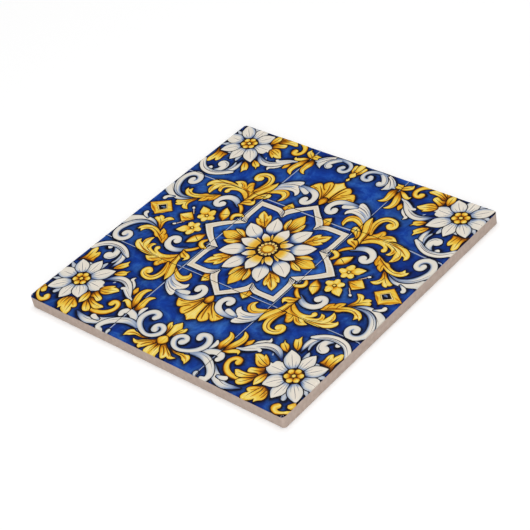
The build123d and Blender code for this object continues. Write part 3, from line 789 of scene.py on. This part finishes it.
palmetteLeaves = {
    "sideLobes": dict(level=1, base=(1.4, 28.6), tip=(6.5, 36), root=1.3, fade=0.6, tone=0.18, edge=0.55,
        ring=[(1.2, 29.5, 0), (2.0, 28.4, 0), (3.0, 29.4), (4.2, 30.6), (5.3, 31.6), (6.5, 32.3), (8, 32.6),
        (9.7, 32.7, 0), (9.3, 33.8), (8.7, 34.8), (7.9, 35.6), (7.2, 35.8), (6.5, 35.5), (5.8, 34.9),
        (5.0, 34.0), (4.3, 33.55), (3.7, 33.5, 0), (4.6, 34.0), (5.3, 34.7), (5.9, 35.6, 0), (5.8, 36.3),
        (5.2, 37.1), (4.5, 37.6), (3.8, 37.8), (3.1, 37.5), (2.7, 37.3, 0), (2.2, 35.6), (1.8, 33.6),
        (1.5, 31.6), (1.3, 30.4)],
        shades=[[(2.2, 29.2, 0.3), (3.3, 31, 0.5), (5, 32.8, 0.35), (6.9, 34.6, 0.15)], [(6.8, 32.9, 0.1),
        (8, 33.1, 0.45), (9, 33.3, 0.2)], [(1.8, 31, 0.2), (2.5, 33.6, 0.5), (3.6, 36, 0.35),
        (4, 36.8, 0.1)]],
        veins=[[(2.1, 29.4, 0.2), (3.2, 31.2, 0.16), (4.8, 32.8, 0.13), (6.8, 34.6, 0.03)],
        [(1.9, 29.9, 0.2), (2.2, 31.8, 0.16), (2.9, 34, 0.13), (3.8, 36.5, 0.04)], [(6.2, 32.9, 0.02),
        (7.6, 33.3, 0.07), (8.8, 33.4, 0.02)]]),
    "middleLobe": dict(level=3, copies="ends", base=(0, 30), tip=(0, 35), root=0.4, edge=0.7,
        ring=acrossY([(0, 30, 0), (1.05, 30.4, 0), (1.15, 32.6), (1.5, 35.4), (2.4, 37.6, 0), (1.2, 38.3),
        (0, 39.4, 0)])),
    "dartWing": dict(level=2, copies="near", base=(1.3, 47), tip=(3.3, 42.7), root=1.0,
        ring=[(1.2, 47.4, 0), (1.4, 45.2), (1.7, 43.5, 0), (2.6, 43.2, 0), (3.3, 42.4), (3.8, 43.4),
        (3.5, 44.4), (2.7, 45.5), (1.8, 46.7)],
        veins=[[(1.6, 46.4, 0.12), (2.2, 44.8, 0.12), (3, 43.5, 0.03)]]),
    "lowFan": dict(level=3, copies="near", base=(1.6, 51.2), tip=(5.5, 54.5), root=1.0,
        ring=[(1.9, 50.7, 0), (4, 52.1), (6, 53.2), (7.5, 54.2), (9.2, 54.1, 0), (8.3, 55.1), (7.1, 55.5),
        (6.2, 55.1, 0), (5.8, 56.0), (4.9, 56.4), (4, 55.7), (3.1, 54.6), (2.2, 53.7), (1.2, 52.2, 0)],
        shades=[[(2.4, 52.2, 0.3), (4, 53.6, 0.5), (5, 55, 0.2)], [(3.6, 52.3, 0.2), (5.4, 53.6, 0.35),
        (7, 54.7, 0.1)]],
        veins=[[(2.2, 52.2, 0.13), (3.8, 53.6, 0.12), (4.9, 55.4, 0.02)], [(3.2, 52, 0.1), (5.6, 53.5, 0.1),
        (7.8, 54.6, 0.02)]]),
    "lowKnob": dict(level=5, copies="nearEnd", base=(0, 52), tip=(0, 48.5), root=0.5, edge=0.6, warm=0.5,
        ring=acrossY([(0, 48.1), (1.15, 48.8), (1.85, 50), (1.1, 51.4), (0, 52)])),
}
for lobe in palmetteLeaves.values():
    leafPatch("yellow", **{"warm": 0.3, **lobe})
for lobe in palmettes.values():
    brushStroke("yellow", warm=0.3, **lobe)
print("palmettes painted")

# corner daisies
daisy = {
    "middle": (45.6, 41.8),
    "petals": [[(45.6, 39.2, 0.6), (45.6, 37.2, 1.8), (45.7, 34.9, 2.15), (45.8, 33, 1.2), (45.9, 31.6, 0)],
        [(47.4, 39.8, 0.6), (48.7, 38.4, 1.9), (50.2, 36.9, 2.35), (51.5, 35.5, 1.5), (52.6, 34.2, 0)],
        [(48.4, 41.8, 0.7), (50.4, 41.8, 2.1), (53, 41.9, 2.6), (57, 42, 0.5)], [(47.4, 44.0, 0.6),
        (49, 45.7, 2.0), (50.8, 47.5, 2.3), (52.2, 49.1, 1.3), (53.2, 50.3, 0)], [(45.7, 44.6, 0.6),
        (45.6, 46.8, 1.9), (45.5, 49.2, 2.2), (45.5, 51, 1.2), (45.6, 52.3, 0)], [(44.4, 43.6, 0.5),
        (43.2, 44.8, 1.9), (41.9, 46.1, 2.6), (40.9, 47.4, 2.2), (40.2, 48.4, 1.2), (39.7, 49.3, 0)],
        [(42.9, 41.7, 0.6), (41.3, 41.7, 1.7), (39.6, 41.75, 2.6), (37.9, 41.8, 2.75), (36.6, 41.9, 1.8),
        (35.9, 41.6, 0.9)], [(43.8, 39.9, 0.6), (42.2, 38.3, 2.0), (40.4, 36.3, 2.45), (39, 34.7, 1.5),
        (37.8, 33.3, 0)]],
    "behind": [[(44.8, 37.4, 0.4), (43.9, 34.7, 0.8), (43.4, 32.3, 0.55), (43.2, 31.5, 0)], [(47, 37, 0.6),
        (48.2, 35, 0.8), (49.3, 34.2, 0)], [(50.5, 39.5, 0.7), (52.3, 38.5, 0.9), (54.5, 37.3, 0.4)],
        [(47.2, 46.5, 0.5), (48.2, 48.8, 0.9), (49, 50.6, 0.8)], [(50.5, 44, 0.5), (52.6, 45.2, 0.8),
        (54.5, 46, 0.3)]],
    "halfShade": [0.1, 0.35, 0.4, 0.35, 0.25, 0.35, -0.3, -0.3],  # which half of a petal is greyer
    "flow": [(0, 0.1, 0.75, 0.07), (0.5, 0.03, 0.4, 0.05), (-0.5, 0.03, 0.4, 0.05)],
    "heart": 3.4, "heartPetals": 6,
    "heartPetal": [(0.7, 0.3), (1.4, 0.8), (2.0, 1.02)],  # how far out, and half width
    "eye": 0.85, "button": 0.6,
}
for petal in daisy["behind"]:
    brushStroke("white", petal, 1, tone=0.48, root=1.0)
for k, (petal, grey) in enumerate(zip(daisy["petals"], daisy["halfShade"])):
    brushStroke("white", petal, 3 if k % 2 else 2, root=1.15, fade=0.36, edge=0.25, tone=0.05, side=grey,
                flow=daisy["flow"])
heartX, heartY = daisy["middle"]
dot("line", heartX, heartY, daisy["heart"], 4, warm=0.2)
for k in range(daisy["heartPetals"]):
    turn = math.pi / 2 + 2 * math.pi * k / daisy["heartPetals"]
    x, y = math.cos(turn), math.sin(turn)
    spine = [(heartX + far * x, heartY + far * y, wide) for far, wide in daisy["heartPetal"]]
    brushStroke("yellow", spine, 5, root=1.4, fade=0.7, edge=0.5, outline=0.14, warm=0.5)
dot("line", heartX, heartY, daisy["eye"], 6, warm=0.5)
dot("yellow", heartX, heartY, daisy["button"], 7, outline=0)
print("daisies painted")

# fine joint lines of the print
jointLines = {
    "x": 19.25, "y": 20.8, "upright": range(-60, 61, 4), "flat": range(-58, 59, 4),  # places and steps
    "pale": ("joint", 0.2, 0.0, 0), "dark": ("line", 0.07, 0.26, 8),  # paint, half width, shift, level
}
for paint, wide, shift, level in (jointLines["pale"], jointLines["dark"]):
    upright = [(jointLines["x"] + shift, place, wide) for place in jointLines["upright"]]
    flat = [(place, jointLines["y"] + shift, wide) for place in jointLines["flat"]]
    brushStroke(paint, upright, level, "sides", outline=0, steps=1)
    brushStroke(paint, flat, level, "ends", outline=0, steps=1)
print("joint lines painted")

# blue ground, nearly black where it meets a motif and paler in the open
groundWash = {
    "cells": 300, "rollCells": 6,  # over the whole face, and on its soft edge
    "cast": 0.3,  # the dark lies a little outward of a motif
    "contact": 1.0, "contactDark": 0.48,
    "darkReach": 3.2, "reachDark": 0.46,
    "openFrom": 2.0, "openTo": 7.0,
    "ringReach": 3.6, "ringWays": 10, "ringSlack": 0.5, "ringFree": 3, "crowded": 0.34,  # shut in by motifs
    "cornerFrom": 34, "cornerSpan": 8, "cornerDeep": 0.14,
    "starSquare": 18, "starArms": (27, 25), "starClear": 0.17,  # clearer inside the star
    "starFade": [(0, 1), (0.9, 1), (1.05, 0), (99, 0)],
}


def spreadCell(place):
    inner = 1 - 2 * groundWash["rollCells"] / groundWash["cells"]
    far = abs(place)
    if far <= inner:
        return math.copysign(flatHalf * far / inner, place)
    return math.copysign(flatHalf + (glazeReach - flatHalf) * (far - inner) / (1 - inner), place)


def washAt(x, y, tree):  # how open the spot is, and how dark
    wash = groundWash
    fromX, fromY = x - printFit["middle"][0], y - printFit["middle"][1]
    back = Vector((x - math.copysign(wash["cast"], fromX), y - math.copysign(wash["cast"], fromY), 0))
    gap = min(max(hit[2] - inked[hit[1]][2], 0) for hit in tree.find_n(back, 3))
    dark = wash["contactDark"] * max(0, 1 - gap / wash["contact"])
    dark += wash["reachDark"] * max(0, 1 - gap / wash["darkReach"])
    shut = 0
    for k in range(wash["ringWays"]):
        turn = Matrix.Rotation(2 * math.pi * k / wash["ringWays"], 3, "Z")
        spot, at, far = tree.find(back + turn @ Vector((wash["ringReach"], 0, 0)))
        shut += far < inked[at][2] + wash["ringSlack"]
    dark += wash["crowded"] * max(shut - wash["ringFree"], 0) / (wash["ringWays"] - wash["ringFree"])
    dark += wash["cornerDeep"] * clamp((min(abs(x), abs(y)) - wash["cornerFrom"]) / wash["cornerSpan"])
    inSquare = max(abs(fromX), abs(fromY)) / wash["starSquare"]
    inArms = abs(fromX) / wash["starArms"][0] + abs(fromY) / wash["starArms"][1]
    dark = min(dark, 1) - wash["starClear"] * alongSteps(wash["starFade"], min(inSquare, inArms))
    return clamp((gap - wash["openFrom"]) / (wash["openTo"] - wash["openFrom"])), max(dark, 0)


motifTree = spotTree([(x, y, 0) for x, y, wide in inked])
ground, brush = newSheet()
bmesh.ops.create_grid(ground, x_segments=groundWash["cells"], y_segments=groundWash["cells"], size=1)
for v in ground.verts:
    x, y = spreadCell(v.co.x), spreadCell(v.co.y)
    openness, dark = washAt(x, y, motifTree)
    v[brush] = (openness, 0, dark)
    v.co = drape(x, y, paintLayers["ground"])
skirt = bmesh.ops.extrude_edge_only(ground, edges=[e for e in ground.edges if e.is_boundary])["geom"]
bmesh.ops.translate(ground, verts=onlyVerts(skirt), vec=(0, 0, -paintLayers["body"] * mm))
setInOrder(ground)
print("ground washed")

# surfaces
glazeColours = {
    "white": [(0.0, (234, 176, 54)), (0.14, (243, 203, 92)), (0.25, (240, 217, 158)),
              (0.33, (225, 211, 189)), (0.42, (241, 231, 216)), (0.54, (227, 222, 211)),
              (0.67, (176, 187, 205)), (0.82, (92, 115, 158)), (0.96, (26, 42, 102))],
    "yellow": [(0.0, (250, 229, 138)), (0.16, (244, 208, 80)), (0.42, (233, 163, 28)), (0.6, (172, 98, 6)),
               (0.85, (72, 37, 4))],
    "line": [(0.0, (128, 138, 166)), (0.22, (70, 78, 108)), (0.5, (7, 7, 20)), (0.75, (50, 26, 6)),
             (1.0, (164, 92, 16))],
    "joint": [(0.0, (120, 140, 190)), (1.0, (190, 200, 220))],
    "clouds": [(0.3, (6, 37, 124)), (0.48, (15, 64, 162)), (0.64, (55, 112, 198))],
    "darkness": [(0.0, (0, 0, 0)), (1.0, (255, 255, 255))],
    "openBlue": (38, 90, 174),
    "deepBlue": (4, 6, 26),
    "bisque": [(0.3, (196, 175, 162)), (0.5, (203, 183, 170)), (0.7, (210, 191, 179))],
}


def linear(shade):  # from the 0 to 255 of a colour picker
    return ((shade / 255 + 0.055) / 1.055) ** 2.4 if shade > 10 else shade / 255 / 12.92


def tint(red, green, blue):
    return [linear(red), linear(green), linear(blue), 1.0]


def feed(tree, made, inputs):  # sockets of other nodes are linked, and plain values are set
    for name, value in inputs.items():
        if isinstance(value, bpy.types.NodeSocket):
            tree.links.new(value, made.inputs[name])
        else:
            made.inputs[name].default_value = value


def node(tree, kind, inputs, out=0, **settings):
    made = tree.nodes.new("ShaderNode" + kind)
    for name, value in settings.items():
        setattr(made, name, value)
    feed(tree, made, inputs)
    return made.outputs[out]


def ramp(tree, stops, factor):
    colour = node(tree, "ValToRGB", {"Fac": factor})
    band = colour.node.color_ramp
    while len(band.elements) < len(stops):
        band.elements.new(0.5)
    for element, (place, shade) in zip(band.elements, stops):
        element.position = place
        element.color = tint(*shade)
    return colour


def newGroup(name, inputs, outputs):
    group = bpy.data.node_groups.new(name, "ShaderNodeTree")
    for title, start in inputs.items():
        group.interface.new_socket(title, in_out="INPUT", socket_type="NodeSocketFloat").default_value = start
    for title in outputs:
        group.interface.new_socket(title, in_out="OUTPUT", socket_type="NodeSocketFloat")
    return group, group.nodes.new("NodeGroupInput").outputs, group.nodes.new("NodeGroupOutput")


def newMaterial(name):
    made = bpy.data.materials.new(name)
    made.use_nodes = True
    return made, made.node_tree, made.node_tree.nodes["Principled BSDF"]


def brushMarksGroup():
    group, given, out = newGroup("brush marks", {"Streak": 0.2, "Mottle": 0.1}, ["Shade"])
    painted = node(group, "Attribute", {}, "Vector", attribute_name="brush")
    stretch = node(group, "Mapping", {"Vector": painted, "Scale": (0.18, 2.2, 0)})  # long along the stroke
    place = node(group, "TexCoord", {}, "Object")
    noises = {"Streak": node(group, "TexNoise", {"Vector": stretch, "Scale": 1.0, "Detail": 3.0}),
              "Mottle": node(group, "TexNoise", {"Vector": place, "Scale": 420.0, "Detail": 4.0})}
    shade = node(group, "SeparateXYZ", {0: painted}, "Z")
    for name, noise in noises.items():
        off = node(group, "Math", {0: noise, 1: 0.5}, operation="SUBTRACT")
        shade = node(group, "Math", {0: off, 1: given[name], 2: shade}, operation="MULTIPLY_ADD")
    feed(group, out, {"Shade": shade})
    return group


def glazeSkinGroup():
    group, given, out = newGroup("glaze skin", {"Gloss": 0.3, "Spread": 0.12}, ["Roughness", "Height"])
    place = node(group, "TexCoord", {}, "Object")
    ripple = node(group, "TexNoise", {"Vector": place, "Scale": 260.0, "Detail": 2.0})
    pits = node(group, "TexVoronoi", {"Vector": place, "Scale": 900.0}, "Distance")
    rough = {0: ripple, 1: given["Spread"], 2: given["Gloss"]}
    height = {0: pits, 1: 0.2, 2: ripple}
    feed(group, out, {"Roughness": node(group, "Math", rough, operation="MULTIPLY_ADD"),
                      "Height": node(group, "Math", height, operation="MULTIPLY_ADD")})
    return group


brushMarks = brushMarksGroup()
glazeSkin = glazeSkinGroup()


def glazed(name, stops, streak, mottle, low=0.0, high=1.0):
    made, tree, shader = newMaterial(name)
    marks = node(tree, "Group", {"Streak": streak, "Mottle": mottle}, "Shade", node_tree=brushMarks)
    spread = node(tree, "MapRange", {"Value": marks, "From Min": low, "From Max": high})
    skin = node(tree, "Group", {"Gloss": 0.3}, "Roughness", node_tree=glazeSkin)
    ripples = {"Height": skin.node.outputs["Height"], "Strength": 0.15, "Distance": 0.0002}
    feed(tree, shader, {"Base Color": ramp(tree, stops, spread), "Roughness": skin,
                        "Specular IOR Level": 0.12, "Normal": node(tree, "Bump", ripples)})
    return made


def cobaltGlaze():
    made = glazed("cobalt ground", glazeColours["darkness"], 0.0, 0.3)
    tree = made.node_tree
    shader = tree.nodes["Principled BSDF"]
    darkness = shader.inputs["Base Color"].links[0].from_socket  # black to white, mixes in the deep blue
    place = node(tree, "TexCoord", {}, "Object")
    clouds = node(tree, "TexNoise", {"Vector": place, "Scale": 95.0, "Detail": 7.0, "Roughness": 0.74,
                                     "Distortion": 0.6})
    painted = node(tree, "Attribute", {}, "Vector", attribute_name="brush")
    openness = node(tree, "SeparateXYZ", {0: painted}, "X")
    patches = node(tree, "MapRange", {"Value": clouds, "From Min": 0.42, "From Max": 0.72})
    pale = node(tree, "Math", {0: openness, 1: patches}, operation="MULTIPLY")
    wash = {0: pale, 6: ramp(tree, glazeColours["clouds"], clouds), 7: tint(*glazeColours["openBlue"])}
    deep = {0: darkness, 6: node(tree, "Mix", wash, 2, data_type="RGBA"), 7: tint(*glazeColours["deepBlue"])}
    feed(tree, shader, {"Base Color": node(tree, "Mix", deep, 2, data_type="RGBA")})
    return made


def bisqueBody():
    made, tree, shader = newMaterial("bisque body")
    place = node(tree, "TexCoord", {}, "Object")
    grit = node(tree, "TexNoise", {"Vector": place, "Scale": 700.0, "Detail": 6.0})
    bumps = {"Height": grit, "Strength": 0.3, "Distance": 0.0002}
    feed(tree, shader, {"Base Color": ramp(tree, glazeColours["bisque"], grit), "Roughness": 0.85,
                        "Specular IOR Level": 0.2, "Normal": node(tree, "Bump", bumps)})
    return made


bakeMap = {"seen": 0.05, "face": 0.96, "hidden": 0.01}  # undersides are kept in one small corner


def finishPiece(name, sheet, material):
    flat = sheet.loops.layers.uv.new("OFBake")  # the face seen from above
    side = 2 * tileFace["half"] * mm
    for face in sheet.faces:
        seen = face.normal.z > bakeMap["seen"]
        size, start = (bakeMap["face"], 0.5) if seen else (bakeMap["hidden"], bakeMap["hidden"])
        for loop in face.loops:
            loop[flat].uv = loop.vert.co.to_2d() / side * size + Vector((start, start))
    mesh = bpy.data.meshes.new(name)
    sheet.to_mesh(mesh)
    sheet.free()
    mesh.materials.append(material)
    piece = bpy.data.objects.new(name, mesh)
    bpy.context.scene.collection.objects.link(piece)
    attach(piece, "root")
    print(name, sum(len(p.vertices) - 2 for p in mesh.polygons), "triangles")


whiteEnamel = glazed("white enamel", glazeColours["white"], 0.5, 0.25, -1.0, 1.4)
yellowEnamel = glazed("yellow enamel", glazeColours["yellow"], 0.9, 0.5, -0.1, 1.5)
lineInk = glazed("dark line ink", glazeColours["line"], 0.3, 0.2, -1.0, 1.0)
jointInk = glazed("pale joint ink", glazeColours["joint"], 0.8, 0.8, -0.5, 0.5)
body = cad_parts["ceramic_tile"]
body.data.materials.clear()
body.data.materials.append(bisqueBody())
finishPiece("cobalt_ground", ground, cobaltGlaze())
finishPiece("white_enamel_painting", paints["white"], whiteEnamel)
finishPiece("yellow_enamel_painting", paints["yellow"], yellowEnamel)
finishPiece("dark_linework", paints["line"], lineInk)
finishPiece("pale_joint_lines", paints["joint"], jointInk)

# floor, light and camera
studio = {
    "floor": 4.0, "floorTone": (0.86, 0.86, 0.86, 1), "floorLift": 0.25,
    "ambient": 0.12, "white": (1, 1, 1, 1),
    "softboxes": {
        "overhead": dict(place=(-0.1, 0.15, 1.1), size=1.2, power=9.5),
        "front": dict(place=(0.8, -0.8, 0.65), size=0.8, power=7.3),
    },
}
view = {
    "eye": (0.29412, -0.26547, 0.30998), "look": (-0.5842, 0.5280, -0.6164), "roll": -11.965,
    "lens": 105.9, "sensor": 36.0,
}


def turnedTo(way):
    return Vector(way).to_track_quat("-Z", "Y").to_matrix()


def placed(name, data, place, turn):
    thing = bpy.data.objects.new(name, data)
    thing.matrix_world = Matrix.Translation(place) @ turn.to_4x4()
    bpy.context.scene.collection.objects.link(thing)
    return thing


def studioPaper():
    made, tree, shader = newMaterial("studio paper")
    rays = tree.nodes.new("ShaderNodeLightPath").outputs
    seen = rays["Is Camera Ray"]
    for kind in ("Is Glossy Ray", "Is Transmission Ray"):
        seen = node(tree, "Math", {0: seen, 1: rays[kind]}, operation="MAXIMUM")
    lift = node(tree, "Math", {0: seen, 1: studio["floorLift"]}, operation="MULTIPLY")
    feed(tree, shader, {"Base Color": studio["floorTone"], "Roughness": 1.0, "Specular IOR Level": 0.0,
                        "Emission Color": studio["white"], "Emission Strength": lift})
    return made


floorSheet = bmesh.new()
bmesh.ops.create_grid(floorSheet, x_segments=1, y_segments=1, size=studio["floor"])
floorMesh = bpy.data.meshes.new("studio_floor")
floorSheet.to_mesh(floorMesh)
floorSheet.free()
floorMesh.materials.append(studioPaper())
floor = placed("studio_floor", floorMesh, (0, 0, tileLow[2]), Matrix.Identity(3))
for name, softbox in studio["softboxes"].items():
    lamp = bpy.data.lights.new(name + " softbox", "AREA")
    lamp.shape = "DISK"
    lamp.size = softbox["size"]
    lamp.energy = softbox["power"]
    placed(name + " softbox", lamp, softbox["place"], turnedTo(-Vector(softbox["place"])))
world = bpy.data.worlds.new("soft room")
world.use_nodes = True
sky = world.node_tree.nodes["Background"]
feed(world.node_tree, sky, {"Color": studio["white"], "Strength": studio["ambient"]})
bpy.context.scene.world = world

lens = bpy.data.cameras.new("photo camera")
lens.lens = view["lens"]
lens.sensor_width = view["sensor"]
roll = Matrix.Rotation(math.radians(view["roll"]), 3, "Z")
bpy.context.scene.camera = placed("photo camera", lens, view["eye"], turnedTo(view["look"]) @ roll)
bpy.context.scene.view_settings.view_transform = "Standard"
print("studio set")
